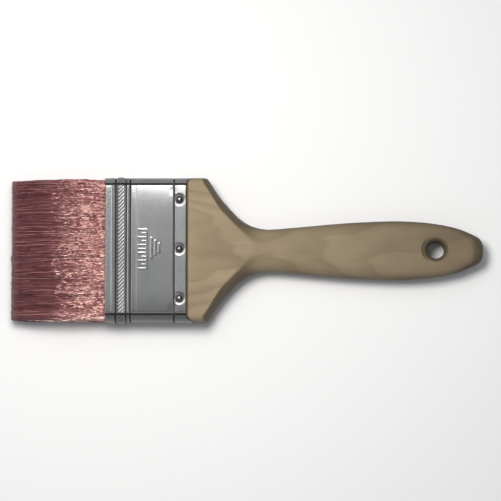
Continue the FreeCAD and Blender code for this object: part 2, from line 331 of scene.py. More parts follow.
# ---- ferrule -------------------------------------------------------------------------------------
def ring_of_sheet(count):
    """Round the ferrule: distance along, y, z and the outward normal of each of count points."""
    broad, narrow = 2 * FACE_HALF, 2 * (HALF_THICK - CORNER)
    turn = math.pi / 2 * CORNER
    length = 2 * (broad + narrow + 2 * turn)
    along = np.arange(count) * length / count
    y, z, normal_y, normal_z = (np.zeros(count) for _ in range(4))
    start, angle = 0.0, math.pi / 2
    centre_y, centre_z = -broad / 2, narrow / 2
    for straight, step in ((broad, (1, 0)), (narrow, (0, -1)), (broad, (-1, 0)), (narrow, (0, 1))):
        on = (along >= start) & (along < start + straight)
        y[on] = centre_y + step[0] * (along[on] - start) + CORNER * math.cos(angle)
        z[on] = centre_z + step[1] * (along[on] - start) + CORNER * math.sin(angle)
        normal_y[on], normal_z[on] = math.cos(angle), math.sin(angle)
        centre_y += step[0] * straight
        centre_z += step[1] * straight
        start += straight
        on = (along >= start) & (along < start + turn)
        turned = angle - (along[on] - start) / CORNER
        y[on], z[on] = centre_y + CORNER * np.cos(turned), centre_z + CORNER * np.sin(turned)
        normal_y[on], normal_z[on] = np.cos(turned), np.sin(turned)
        start += turn
        angle -= math.pi / 2
    return along, length, y, z, normal_y, normal_z


def rope(x, along, length, pitch):
    """Height and depth of cut of the rope bead, whose strokes lie at 45 degrees."""
    strokes, cut = round(length / pitch), 0.2
    across = (along * strokes / length) - (x - ROPE_X) / pitch
    strand = np.abs(np.cos(math.pi * across)) ** 0.75
    rise = 1 - np.clip(np.abs(x - ROPE_X) / ROPE_HALF, 0.0, 1.0) ** 3.5
    gap = smooth_step(1 - strand, 0.38, 0.8) * rise
    return rise * (ROPE_HEIGHT - cut * (1 - strand)), gap


def size_mark(x, y):
    """Generic pressed mark: a short graduated rule and three bars. 1 on the mark and 0 off it."""
    def bar(x0, x1, y0, y1, edge=0.2):
        inside = np.minimum(np.minimum(x - x0, x1 - x), np.minimum(y - y0, y1 - y))
        return smooth_step(inside, -edge, edge)

    rule_x, rule_half, stroke, ticks = -52.9, 10.6, 0.5, 11
    long_tick, short_tick = 4.4, 2.4
    bars_x, bars_y, bar_pitch, bar_width = -50.6, 0.6, 2.0, 0.95
    mark = bar(rule_x, rule_x + stroke, -rule_half, rule_half)
    for k in range(ticks):
        tick_y = -rule_half + k * (2 * rule_half - stroke) / (ticks - 1)
        tick = short_tick if k % 2 and k != ticks // 2 else long_tick
        mark = np.maximum(mark, bar(rule_x - tick, rule_x, tick_y, tick_y + stroke))
    for k, half in enumerate((5.6, 4.1, 2.6)):
        bar_x = bars_x + bar_pitch * k
        mark = np.maximum(mark, bar(bar_x, bar_x + bar_width, bars_y - half, bars_y + half))
    return mark


def rolled_lines(x):
    """Height and depth of recess of the ridges and grooves that run round the ferrule."""
    height, recess = np.zeros_like(x), np.zeros_like(x)
    for centre, half, tall in ROLLED_LINES.values():
        line = bump_line(x, centre, half)
        height = height + tall * line
        recess = recess + (tall < 0) * smooth_step(line, 0.1, 0.5)
    return height, recess


def broad_faces(x, y, side):
    """Height and depth of recess of the broad faces: crowned, faintly rippled, creased at their sides."""
    crown, dish, ripple_height, crease_half, crease_depth = 0.17, 0.2, 0.012, 0.7, 0.14
    on_face = smooth_step(FACE_HALF + 0.4 - np.abs(y), 0.0, 0.8) * np.abs(side)
    spread = np.clip(np.abs(y) / FACE_HALF, 0.0, 1.0)
    turned = np.arccos(np.clip(np.abs(side), 0.0, 1.0)) / (math.pi / 2)
    flat_corner = 0.5 * np.abs(side) * np.sqrt(np.clip(1 - side ** 2, 0.0, 1.0))
    panel = smooth_step(x, PANEL_START_X - 0.3, PANEL_START_X + 0.3)
    raised = smooth_step(x, -58.2, -57.6) * (1 - smooth_step(x, -39.0, -38.4))
    ripple = np.sin(x / 5.1 + y / 7.3) + np.sin(y / 11.0 - x / 9.1 + 1.3) + np.sin(y / 4.3 + 2.1) * 0.5
    crease = np.exp(-(((np.abs(y) - FACE_HALF) / crease_half) ** 2)) * (np.abs(side) > 0.7)
    height = (crown * panel - (0.12 + dish * panel) * spread ** 6) * (1 - turned) ** 2
    height = height - flat_corner * (1 - 0.6 * smooth_step(x, -41.0, -33.0))
    height = height + (0.04 * raised + 0.03 * np.clip(x - NAILS_FROM_X, 0.0, 6.0)) * on_face
    height = height + ripple_height * ripple * on_face - crease_depth * crease
    height = height + MARK_HEIGHT * size_mark(x, y) * (side > 0.5)
    return height, smooth_step(crease, 0.1, 0.6)


def nail_dimples(x, y, side):
    """Height and depth of recess of the dimple round each nail, and the two dents of each nail groove."""
    pan_r, pan_depth, pit_r, pit_depth = 3.6, 0.17, 2.35, 0.75
    dent_r, dent_depth = 1.7, 0.1
    height, recess = np.zeros_like(x), np.zeros_like(x)
    for name in NAILS:
        nail_x, nail_y, face = nail_centre(name)
        away = np.hypot(x - nail_x, y - nail_y) + FAR_AWAY * (side * face < 0.5)
        height = height - pan_depth * smooth_step(pan_r - away, 0.0, 1.3)
        height = height - pit_depth * smooth_step(pit_r - away, 0.0, 0.6)
        recess = recess + smooth_step(pit_r + 0.05 - away, 0.0, 0.4)
    for dent_y in (31.6, -31.9):
        away = np.hypot(x - NAIL_GROOVE_X + 0.6, (y - dent_y) * 0.7)
        height = height - dent_depth * np.exp(-((away / dent_r) ** 2)) * (np.abs(side) > 0.5)
    return height, recess


def side_seam(x, y, z):
    """Height of the lapped seam along one narrow side, which has no recess."""
    seam = smooth_step(SEAM_HALF - np.abs(z), -0.12, 0.12) * (y < -HALF_WIDTH + 1)
    seam = seam * smooth_step(x, PANEL_START_X + 1, PANEL_START_X + 1.6)
    seam = seam * (1 - smooth_step(x, NAIL_GROOVE_X - 1.8, NAIL_GROOVE_X - 1.2))
    return SEAM_RISE * seam, 0.0


def sheet_height(x, along, length, y, side, z, pitch):
    """How far the sheet's outside stands off its plain sleeve, and how deep in a recess each point is."""
    parts = (
        rolled_lines(x), rope(x, along, length, pitch), broad_faces(x, y, side), nail_dimples(x, y, side),
        side_seam(x, y, z),
    )
    height, recess = (sum(column) for column in zip(*parts))
    return height, np.clip(recess, 0.0, 1.0)


def handle_edge(y, start):
    """x of the ferrule's edge at the handle, swept back where the sheet turns onto the narrow sides."""
    out = np.clip(np.abs(y) - FACE_HALF, 0.0, CORNER)
    return np.minimum(start + CORNER - np.sqrt(CORNER ** 2 - out ** 2), TAB_END_X)


def sheet_piece(name, rows, columns, pitch, material, strips):
    """Closed shell of the ferrule between the first and the last of its rows."""
    along, length, y, z, normal_y, normal_z = ring_of_sheet(columns)
    x = np.repeat(rows[:, None], columns, axis=1)
    if rows[-1] >= FACE_END_X:
        late = smooth_step(x, NAILS_FROM_X, FACE_END_X)
        x = x + late * (handle_edge(y, FACE_END_X) - FACE_END_X)
    height, recess = sheet_height(x, along, length, y, normal_z, z, pitch)
    outer = np.stack([x, y + normal_y * height, z + normal_z * height], axis=-1)
    inner_rows = [0, len(rows) // 3, 2 * len(rows) // 3, len(rows) - 1]
    low = np.minimum(0.0, height[inner_rows])
    inner = np.stack([
        x[inner_rows], y + normal_y * (low - SHEET), z + normal_z * (low - SHEET),
    ], axis=-1)
    number = np.arange((len(rows) + len(inner_rows)) * columns).reshape(-1, columns).tolist()
    outside, inside = number[:len(rows)], number[len(rows):]
    faces = []
    for first, second in zip(outside, outside[1:]):
        faces += wall(second, first)
    for first, second in zip(inside, inside[1:]):
        faces += wall(first, second)
    faces += wall(outside[0], inside[0]) + wall(inside[-1], outside[-1])
    piece = new_piece(name, np.concatenate([outer, inner]), faces, material)
    # narrow: painted shade on the narrow sides, heavier on the -y side than on the +y side
    narrow = smooth_step(np.abs(y) - FACE_HALF, -0.4, 0.2) * np.where(y > 0, 0.54, 1.0)
    narrow = np.broadcast_to(narrow, x.shape)
    unseen = np.zeros((len(inner_rows), columns))
    # recess: where grime and painted shade darken the sheet, in grooves, creases and the pit round each
    # nail
    store(piece, "recess", np.concatenate([recess, unseen]))
    store(piece, "narrow", np.concatenate([narrow, unseen + 1]))
    bake_map(piece, sheet_map(rows, len(inner_rows), columns, strips))
    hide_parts("ferrule")
    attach(piece, "brush")
    return piece


def sheet_map(rows, inner_rows, columns, strips):
    """The outside as stacked strips in the lower part of the map, and the inside and rims above them."""
    share, gap = 0.9, 0.004
    per_strip = math.ceil(columns / strips)
    column = np.arange(columns)
    strip, within = column // per_strip, column % per_strip
    left, right = within / per_strip, (within + 1) / per_strip
    span = (rows - rows[0]) / (rows[-1] - rows[0])
    corners = []
    for i in range(len(rows) - 1):
        low = (strip + gap + span[i] * (1 - 2 * gap)) * share / strips
        high = (strip + gap + span[i + 1] * (1 - 2 * gap)) * share / strips
        corners.append(np.stack([left, high, right, high, right, low, left, low], axis=-1))
    bands = inner_rows + 1
    left, right = column / columns, (column + 1) / columns
    for band in range(bands):
        low = share + gap + (1 - share) * band / bands + 0 * column
        high = low + (1 - share) / bands - gap
        corners.append(np.stack([left, low, right, low, right, high, left, high], axis=-1))
    return np.concatenate([c.reshape(-1) for c in corners])


def steel_finish(colour):
    """Bright rolled sheet: drawn streaks, small scratches, smudges, painted shade on the narrow sides, and
    grime and painted shade in every recess.
    """
    f = Finish("bright_rolled_steel")
    streak = f.noise(f.place((2.2, 0.05, 0.05)), detail=3.0)
    scratch = f.noise(f.place((0.35, 3.1, 3.1), (7.0, 3.0, 1.0)), detail=2.0)
    smudge = f.noise(f.place((0.09, 0.06, 0.09)), detail=3.0, roughness=0.6)
    speck = f.noise(f.place((1.3, 1.3, 1.3)), detail=1.0).step(0.68, 0.76)
    # grime, with painted shade: recesses darkened almost to black
    recess_grime_and_shade = f.attribute("recess")
    narrow = f.attribute("narrow")
    clean = f.mix(smudge.step(0.3, 0.75), colour, [c * 0.86 for c in colour])
    spotted = f.mix(speck * 0.35, clean, (0.3, 0.27, 0.23))
    # painted shade: the narrow sides darkened towards 0.38 of the steel's colour
    side_shade_and_pores = f.mix(narrow * (0.8 + smudge * 0.2), spotted, [c * 0.38 for c in colour])
    f.set(
        Base_Color=f.mix(recess_grime_and_shade * 0.96, side_shade_and_pores, (0.014, 0.013, 0.012)),
        Metallic=1.0 - recess_grime_and_shade * 0.5,
        Roughness=0.12 + streak * 0.1 + smudge * 0.07 + narrow.step(0.0, 0.5) * 0.42 + recess_grime_and_shade * 0.3,
        Normal=f.bump(streak * 0.6 + scratch * 0.4, 0.012, 0.6),
    )
    return f.material


# ---- nails ---------------------------------------------------------------------------------------
def nail_centre(name):
    """x and y of a nail, and 1 for the front face or -1 for the back."""
    low, high = (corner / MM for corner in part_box(name))
    return (low.x + high.x) / 2, (low.y + high.y) / 2, 1 if high.z > AXIS_Z + 1 else -1


def nail_piece(name, material):
    """Domed brad: a rounded head, a ringed shank and a point."""
    centre_x, centre_y, face = nail_centre(name)
    low, high = (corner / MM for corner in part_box(name))
    head_top = (high.z if face > 0 else AXIS_Z * 2 - low.z) - AXIS_Z
    point_z = (low.z if face > 0 else AXIS_Z * 2 - high.z) - AXIS_Z
    head_r, dome, shank_r, ring_depth, point_length = (high.x - low.x) / 2, 0.75, 0.7, 0.04, 1.2
    profile = [
        (head_r * math.sin(turn) ** 0.9, head_top - dome * 0.82 * (1 - math.cos(turn)))
        for turn in np.linspace(0.0, math.pi / 2, 13)
    ]
    profile += [(head_r * 0.98, head_top - dome * 0.93), (head_r * 0.9, head_top - dome)]
    shank = np.linspace(head_top - dome, point_z + point_length, 25)
    profile += [(shank_r - ring_depth * (k % 2), z) for k, z in enumerate(shank)]
    profile += [(shank_r * 0.55, point_z + 0.5), (0.04, point_z)]
    sides = 40
    turn = np.arange(sides) * 2 * math.pi / sides
    points, rings = [], []
    for radius, z in profile:
        rings.append(list(range(len(points), len(points) + sides)))
        radius = max(radius, 0.02)
        points += [
            (centre_x + radius * math.cos(t), centre_y + radius * math.sin(t), face * z) for t in turn
        ]
    faces = [tuple(rings[0]), tuple(reversed(rings[-1]))]
    for first, second in zip(rings, rings[1:]):
        faces += wall(second, first)
    if face < 0:
        faces = [tuple(reversed(f)) for f in faces]
    piece = new_piece(name + "_brad", points, faces, material)
    from_middle = np.array([math.hypot(x - centre_x, y - centre_y) for x, y, _ in points])
    # crown: 1 on the head's top; the finish paints shade round it
    store(piece, "crown", 1 - smooth_step(from_middle, 0.55, 1.05))
    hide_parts(name)
    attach(piece, "brush")
    return piece


def nail_finish(colour):
    """Steel polished bright on the crown, with painted shade round it, slightly pitted."""
    f = Finish("polished_nail_steel")
    pits = f.noise(f.place((1.6, 1.6, 1.6)), detail=3.0)
    tarnish = f.noise(f.place((0.5, 0.5, 0.5)), detail=2.0).step(0.45, 0.75)
    # painted shade: off the crown the head goes to 0.08 of the steel's colour
    f.set(
        Base_Color=f.mix(f.attribute("crown") * (1 - tarnish * 0.4), [c * 0.08 for c in colour], colour),
        Metallic=1.0,
        Roughness=0.1 + pits * 0.12,
        Normal=f.bump(pits, 0.02, 0.4),
    )
    return f.material


# ---- handle --------------------------------------------------------------------------------------
def oval_height(x, y):
    """Half thickness of the shaped wood at a point of its plan."""
    half, crown, power = (curve_through(x, knots) for knots in (OUTLINE, CROWN, OVAL_POWER))
    inside = np.clip(1 - np.abs(y / half) ** power, 1e-9, 1.0)
    return crown * inside ** (1 / power)


def section(x, count, inset=0.0):
    """count points round the handle's section at x: an oval planed down to the shoulder's bar."""
    turn = np.linspace(0.0, math.pi / 2, 721)
    c, s = np.cos(turn), np.maximum(np.sin(turn), 1e-9)
    c = np.maximum(c, 1e-9)
    half, crown, power = (float(curve_through(np.array([x]), k)[0]) for k in (OUTLINE, CROWN, OVAL_POWER))
    oval = ((c / half) ** power + (s / crown) ** power) ** (-1 / power)
    bar = np.minimum(HALF_WIDTH / c, HALF_THICK / s)
    side_half = HALF_THICK - CORNER
    in_corner = (bar * c > FACE_HALF) & (bar * s > side_half)
    middle = FACE_HALF * c + side_half * s
    reach = FACE_HALF ** 2 + side_half ** 2 - CORNER ** 2
    bar = np.where(in_corner, middle + np.sqrt(np.maximum(middle ** 2 - reach, 0.0)), bar)
    radius = soft_least(oval, bar, 0.22)
    y, z = radius * c, radius * s
    travelled = np.concatenate([[0.0], np.cumsum(np.hypot(np.diff(y), np.diff(z)))])
    quarter = count // 4
    wanted = np.linspace(0.0, travelled[-1], quarter + 1)
    y, z = np.interp(wanted, travelled, y), np.interp(wanted, travelled, z)
    y[-1], z[0] = 0.0, 0.0
    y = np.maximum(y - inset * y / max(y[0], 1e-6), 0.0)
    z = np.maximum(z - inset * z / max(z[-1], 1e-6), 0.0)
    ring_y = np.concatenate([y[:-1], -y[::-1][:-1], -y[:-1], y[::-1][:-1]])
    ring_z = np.concatenate([z[:-1], z[::-1][:-1], -z[:-1], -z[::-1][:-1]])
    return ring_y, ring_z


def handle_points(sides):
    """Rings of the shoulder and grip from the ferrule to the rounded tail."""
    end_round, open_line, swept = 1.8, 0.4, 7.0
    stations = spaced(
        FACE_END_X + open_line, (-20.0, 0.6), (12.0, 0.75), (HOLE_X - HOLE_PATCH_REACH, 1.5),
        (HOLE_X + HOLE_PATCH_REACH, 0.8), (TAIL_X - end_round, 0.7),
    )
    turn = np.linspace(0.0, math.pi / 2, 9)[1:]
    rounded = TAIL_X - end_round + end_round * np.sin(turn)
    insets = np.concatenate([np.zeros(len(stations)), end_round * (1 - np.cos(turn))])
    stations = np.concatenate([stations, rounded])
    rings = []
    for x, inset in zip(stations, insets):
        y, z = section(min(x, TAIL_X), sides, inset)
        ring_x = np.full(sides, x)
        if x < FACE_END_X + swept:
            near = 1 - (x - stations[0]) / (FACE_END_X + swept - stations[0])
            ring_x = ring_x + near * (handle_edge(y, stations[0]) - stations[0])
        rings.append(np.stack([ring_x, y, z], axis=-1))
    return stations, rings


def hole_patch(points, faces, loop, face):
    """Fills the opening left in one broad face with rings that run in to the hang hole's rounded rim."""
    edge = np.array([points[k] for k in loop])[:, :2]
    direction = edge - (HOLE_X, 0.0)
    direction = direction / np.linalg.norm(direction, axis=1)[:, None]
    half = HOLE_WALL / 2
    turn = np.linspace(math.pi / 2, 0.0, 13)
    radii = np.concatenate([
        np.linspace(HOLE_RING_R, HOLE_R + HOLE_RIM + 0.15, 5)[:-1], HOLE_R + HOLE_RIM * (1 - np.cos(turn)),
    ])
    places = [edge * (1 - t) + ((HOLE_X, 0.0) + direction * HOLE_RING_R) * t for t in (1 / 3, 2 / 3)]
    places += [(HOLE_X, 0.0) + direction * radius for radius in radii]
    previous = loop
    for place in places:
        x, y = place[:, 0], place[:, 1]
        radius = np.hypot(x - HOLE_X, y)
        inward = np.clip(HOLE_R + HOLE_RIM - radius, 0.0, HOLE_RIM)
        rim = half + np.sqrt(HOLE_RIM ** 2 - inward ** 2)
        rim = rim + 1.2 * np.maximum(radius - HOLE_R - HOLE_RIM, 0.0)
        z = np.maximum(soft_least(oval_height(x, y), rim, 0.12), half)
        ring = list(range(len(points), len(points) + len(loop)))
        points += [(a, b, face * c) for a, b, c in zip(x, y, z)]
        faces += wall(previous, ring) if face > 0 else wall(ring, previous)
        previous = ring
    return previous


def handle_piece(material):
    """One piece of wood: tongue in the ferrule, scooped shoulders, oval grip, hang hole and blunt tail."""
    sides = 320
    stations, rings = handle_points(sides)
    inside = SHEET + 0.03
    step = rings[0] * (1.0, (HALF_WIDTH - inside) / HALF_WIDTH, (HALF_THICK - inside) / HALF_THICK)
    # the tongue: x with its share of the step's width and thickness, waisted under the nails
    tongue = (
        (TONGUE_X, 0.965, 0.9), (TONGUE_X + 1.0, 1.0, 1.0), (-43.0, 1.0, 1.0), (-40.0, 1.0, 1.0),
        (-39.2, 0.985, 0.88), (-32.6, 0.985, 0.88),
    )
    front = [step * (0.0, wide, thick) + (x, 0.0, 0.0) for x, wide, thick in tongue] + [step]
    rings = front + rings
    lead = len(front)
    points = [tuple(p) for ring in rings for p in ring]
    number = [list(range(i * sides, (i + 1) * sides)) for i in range(len(rings))]
    start = lead + int(np.argmin(np.abs(stations - (HOLE_X - HOLE_PATCH_REACH))))
    stop = lead + int(np.argmin(np.abs(stations - (HOLE_X + HOLE_PATCH_REACH))))
    reach = int(np.sum(np.abs(np.array(rings[start])[:sides // 2, 1]) < HOLE_PATCH_REACH)) // 2
    openings = [(crown - reach, crown + reach) for crown in (sides // 4, 3 * sides // 4)]
    faces = []
    for i in range(len(rings) - 1):
        for k, quad in enumerate(wall(number[i], number[i + 1])):
            if not (start <= i < stop and any(left <= k < right for left, right in openings)):
                faces.append(tuple(reversed(quad)))
    rims = []
    for face, (left, right) in zip((1, -1), openings):
        loop = [number[start][k] for k in range(left, right)]
        loop += [number[i][right] for i in range(start, stop)]
        loop += [number[stop][k] for k in range(right, left, -1)]
        loop += [number[i][left] for i in range(stop, start, -1)]
        if face > 0:
            loop.reverse()
        rims.append(hole_patch(points, faces, loop, face))
    join_hole(points, faces, *rims)
    faces += [tuple(number[0]), tuple(reversed(number[-1]))]
    piece = new_piece("handle_wood", points, faces, material)
    store_wood_shading(piece, np.array(points))
    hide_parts("handle")
    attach(piece, "brush")
    return piece


def store_wood_shading(piece, points):
    """Marks where the wood is painted darker: the hang hole's rim, the sides and the ferrule's edge, mostly
    as painted shade.
    """
    x, y, _ = points.T
    from_hole = np.hypot(x - HOLE_X, y)
    # rim: end grain and painted shade in the hang hole's rounded rim
    store(piece, "rim", 1 - smooth_step(from_hole, HOLE_R + 0.9, HOLE_R + HOLE_RIM + 0.3))
    normals = np.zeros(len(points) * 3, np.float32)
    piece.data.vertex_normals.foreach_get("vector", normals)
    facing_x, facing_y, facing_z = normals.reshape(-1, 3).T
    # painted shade on the sides, heavier where they face -y; end grain is darker as well
    lower = 0.82 - 0.42 * facing_y
    end_grain = 0.62 * smooth_step(np.abs(facing_x), 0.1, 0.5)
    store(piece, "worn_side", end_grain + lower * (1 - np.abs(facing_z)))
    # seam: painted shade on the wood along the ferrule's edge
    store(piece, "seam", 1 - smooth_step(x - handle_edge(y, FACE_END_X), 0.9, 1.7))


def join_hole(points, faces, top, bottom):
    """Straight wall of the hang hole between its two rims."""
    def bearing(k):
        return math.atan2(points[k][1], points[k][0] - HOLE_X)

    top, bottom = sorted(top, key=bearing), sorted(bottom, key=bearing)
    offset = int(np.argmin([abs(bearing(k) - bearing(top[0])) for k in bottom]))
    bottom = bottom[offset:] + bottom[:offset]
    previous = top
    for t in np.linspace(0.0, 1.0, 7)[1:-1]:
        ring = list(range(len(points), len(points) + len(top)))
        for a, b in zip(top, bottom):
            points.append(tuple(np.array(points[a]) * (1 - t) + np.array(points[b]) * t))
        faces += wall(previous, ring)
        previous = ring
    faces += wall(previous, bottom)


def wood_finish(light, dark):
    """Bare sanded wood: growth rings cut at a slant, fine fibres, short dark pores, end grain, and painted
    shade towards the tail, on the sides, in the hole's rim and by the ferrule.
    """
    f = Finish("bare_sanded_wood")
    x, y, z = f.axes(f.place())
    wander = f.noise(f.place((0.012, 0.05, 0.05)), detail=2.0)
    drift = f.noise(f.place((0.03, 0.2, 0.2), (3.0, 5.0, 9.0)), detail=3.0)
    side = y - 5.0 + x * 0.03 + drift * 4.0
    depth = z + 48.0 + x * 0.09
    radius = (side * side + depth * depth) ** 0.5 + wander * 12.0
    ring = (radius / 3.1).fraction()
    late = ring.step(0.25, 0.85) * (1 - ring.step(0.88, 1.0))
    fibre = f.noise(f.place((0.06, 2.3, 2.3)), detail=4.0, roughness=0.65)
    fine = f.noise(f.place((0.25, 7.0, 7.0), (2.0, 2.0, 5.0)), detail=2.0)
    pore = f.noise(f.place((0.42, 4.2, 4.2), (11.0, 4.0, 8.0)), detail=1.0).step(0.66, 0.74)
    blotch = f.noise(f.place((0.03, 0.06, 0.06), (1.0, 8.0, 2.0)), detail=3.0)
    tone = late * 0.42 + fibre * 0.4 + fine * 0.2 + blotch.step(0.3, 0.7) * 0.42 - 0.27
    body = f.mix(tone, light, dark)
    side_shade_and_pores = f.mix(pore * 0.38, body, [c * 0.5 for c in dark])
    rim = f.attribute("rim")
    # grip: painted shade, darker towards the tail where the light falls off, plus the rim's and the sides'
    # painted shade
    grip = x.step(-30.0, 118.0) * (0.3 + blotch * 0.3) + rim * 0.7 + f.attribute("worn_side")
    # all the painted shade, with the end grain, that darkens the wood
    shade_and_end_grain = grip + f.attribute("seam") * 0.85
    f.set(
        Base_Color=f.mix(shade_and_end_grain, side_shade_and_pores, [c * 0.42 for c in dark]),
        Roughness=0.58 + fibre * 0.14 - grip * 0.1,
        Specular_IOR_Level=0.32,
        Normal=f.bump(fibre * 0.55 + fine * 0.3 - pore * 0.5, 0.09, 0.55),
    )
    return f.material


# ---- filaments -----------------------------------------------------------------------------------
def strand_mesh(name, path_x, path_y, path_z, radius, sides, material, random):
    """Tapered strands as one piece: each row of the paths is one strand, from its root to its tip."""
    count, steps = path_x.shape
    turn = np.arange(sides) * 2 * math.pi / sides
    spin = random.uniform(0.0, 2 * math.pi, (count, 1, 1))
    angle = turn[None, None, :] + spin
    thick = radius[:, :, None]
    points = np.stack([
        np.broadcast_to(path_x[:, :, None], (count, steps, sides)),
        path_y[:, :, None] + thick * np.cos(angle),
        path_z[:, :, None] + thick * np.sin(angle),
    ], axis=-1)
    base = (np.arange(count) * steps * sides)[:, None, None]
    ring = base + (np.arange(steps - 1) * sides)[None, :, None]
    side = np.arange(sides)[None, None, :]
    following = (side + 1) % sides
    quads = np.stack([
        ring + side, ring + following, ring + sides + following, ring + sides + side,
    ], axis=-1).reshape(-1, 4)
    start = (np.arange(count) * steps * sides)[:, None] + np.arange(sides)[None, ::-1]
    end = start[:, ::-1] + (steps - 1) * sides
    faces = quads.tolist() + start.tolist() + end.tolist()
    piece = new_piece(name, points, faces, material)
    store(piece, "strand", np.repeat(random.uniform(0.0, 1.0, count), steps * sides))
    store(piece, "flat_crimp", np.zeros(count * steps * sides))
    bake_map(piece, strand_map(count, steps, sides))
    return piece


def strand_map(count, steps, sides):
    """One cell of the map for each strand, with its ends' faces in the cell's last corner."""
    cells = math.ceil(math.sqrt(count))
    cell_x, cell_y = (np.arange(count) % cells) / cells, (np.arange(count) // cells) / cells
    size = 0.92 / cells
    step = np.arange(steps - 1) / steps
    side = np.arange(sides) / sides
    low_u = cell_x[:, None, None] + size * step[None, :, None] + 0 * side[None, None, :]
    low_v = cell_y[:, None, None] + size * side[None, None, :] + 0 * step[None, :, None]
    high_u, high_v = low_u + size / steps, low_v + size / sides
    quads = np.stack([low_u, low_v, low_u, high_v, high_u, high_v, high_u, low_v], axis=-1).reshape(-1)
    turn = np.arange(sides) * 2 * math.pi / sides
    caps = []
    for part, flip in ((0.25, -1), (0.75, 1)):
        u = cell_x[:, None] + size * (1 - 0.5 / steps + 0.4 / steps * np.cos(turn * flip)[None, :])
        v = cell_y[:, None] + size * (part + 0.2 * np.sin(turn * flip)[None, :])
        caps.append(np.stack([u, v], axis=-1).reshape(-1))
    return np.concatenate([quads, *caps])


def waves(x, random, count, clump, shortest, longest):
    """Gentle crimp along each strand, partly shared by the strands of a clump, about 1 tall."""
    own, shared = 0.4, 0.35
    total = np.zeros((count, x.shape[1]))
    clumps = int(clump.max()) + 1
    for _ in range(3):
        own_length = random.uniform(shortest, longest, count)
        own_phase = random.uniform(0, 2 * math.pi, count)
        shared_length = random.uniform(shortest, longest, clumps)[clump]
        shared_phase = random.uniform(0, 2 * math.pi, clumps)[clump]
        total += own * np.sin(2 * math.pi * x / own_length[:, None] + own_phase[:, None])
        total += shared * np.sin(2 * math.pi * x / shared_length[:, None] + shared_phase[:, None])
    return total


def strand_x(from_x, tip_x):
    """x of each strand's points: close together where the crimp is strong, further apart to the tip."""
    t = np.concatenate([np.linspace(0.0, 0.6, 41), np.linspace(0.6, 1.0, 9)[1:]])
    return from_x + (tip_x[:, None] - from_x) * t[None, :]


def tip_places(random, z_share):
    """Where the strands end: the chisel trim, a little uneven, with some shorter strands."""
    trimmed = TIP_X + 0.9 * z_share ** 2 + np.abs(random.normal(0.0, 0.4, len(z_share)))
    shorter = (random.uniform(0, 1, len(z_share)) < 0.12) * random.uniform(0.5, 4.0, len(z_share))
    return trimmed + shorter


def tuft_size(x):
    """Half width and half thickness of the tuft at x."""
    return curve_through(x, TUFT_WIDE), curve_through(x, TUFT_THICK)


def liveliness(x, fading_x, start, end, loss):
    """Strength of the crimp: none in the ferrule, full outside it, and less from start to end."""
    return smooth_step(MOUTH_X - x, -1.5, 2.0) * (1 - loss * smooth_step(-fading_x, start, end))


def corner_drop(past):
    """How far the tuft's rounded corner falls away, for a distance past the start of the round."""
    return TUFT_CORNER - np.sqrt(TUFT_CORNER ** 2 - np.clip(past, 0.0, TUFT_CORNER) ** 2)


def broad_strands(name, face, seed, count, diameter, material):
    """The outer filaments of one broad face, in loose clumps."""
    random = np.random.default_rng(seed)
    across = random.uniform(-1.0, 1.0, count)
    depth = random.uniform(0.0, 1.0, count) ** 0.8
    x = strand_x(STRAND_ROOT_X, tip_places(random, np.ones(count)))
    clump = ((across + 1) * 37 / 0.9 + random.normal(0, 0.5, count)).clip(0).astype(int)
    swell = 3.5 * np.sin(across * 7.0 + seed) + 2.5 * np.sin(across * 17.0 + 2.0 * seed)
    swell = swell + random.normal(0, 2.5, clump.max() + 1)[clump] + random.normal(0, 1.0, count)
    bulge_x = x + swell[:, None] * smooth_step(-x, 78.0, 92.0) * (1 - smooth_step(-x, 104.0, 120.0))
    wide, thick = curve_through(x, TUFT_WIDE), curve_through(bulge_x, TUFT_THICK)
    lively = liveliness(x, bulge_x, start=90.0, end=110.0, loss=0.9)
    drop = corner_drop(np.abs(across) * wide.mean() - (wide.mean() - TUFT_CORNER))
    y = across[:, None] * wide + 0.13 * lively * waves(x, random, count, clump, 5.0, 12.0)
    y = y + 0.3 * waves(x, random, count, clump, 22.0, 50.0)
    z = thick - 0.15 - 0.75 * depth[:, None] - drop[:, None]
    z = z + 0.16 * lively * waves(x, random, count, clump, 3.8, 7.0)
    z = z + 0.3 * lively * waves(x, random, count, clump, 16.0, 36.0)
    stray = (random.uniform(0, 1, count) < 0.05) * random.normal(0, 1.0, count)
    y = y + stray[:, None] * smooth_step(-x, 80.0, -TIP_X) * 1.6
    radius = diameter / 2 * taper(x, random, count)
    piece = strand_mesh(name, x, y, face * z, radius, OUTER_SIDES, material, random)
    # painted glints: paler colour where a strand's crimp lies flat towards the light, in patches mostly
    # near the mouth
    slope = np.gradient(z, axis=1) / np.gradient(x, axis=1)
    patch = np.sin(across[:, None] * 11.0 + x / 7.0 + seed)
    patch = patch + np.sin(across[:, None] * 29.0 - x / 5.0 + 2.0 * seed)
    patch = patch + random.normal(0, 0.6, clump.max() + 1)[clump][:, None]
    patch = patch + random.normal(0, 0.5, (count, 1))
    share = smooth_step(patch + 2.7 * smooth_step(x, -109.0, -79.0) - 1.15, 0.0, 1.3)
    flat = np.exp(-((slope / 0.055) ** 2)) * np.sqrt(lively) * share
    store(piece, "flat_crimp", np.repeat(flat.ravel(), OUTER_SIDES))
    return piece


def taper(x, random, count):
    """Filaments keep their thickness to the last third and then taper to a flagged tip."""
    to_tip = (x - x[:, -1:]) / (x[:, :1] - x[:, -1:])
    return (0.55 + 0.45 * smooth_step(to_tip, 0.0, 0.35)) * random.uniform(0.8, 1.15, count)[:, None]


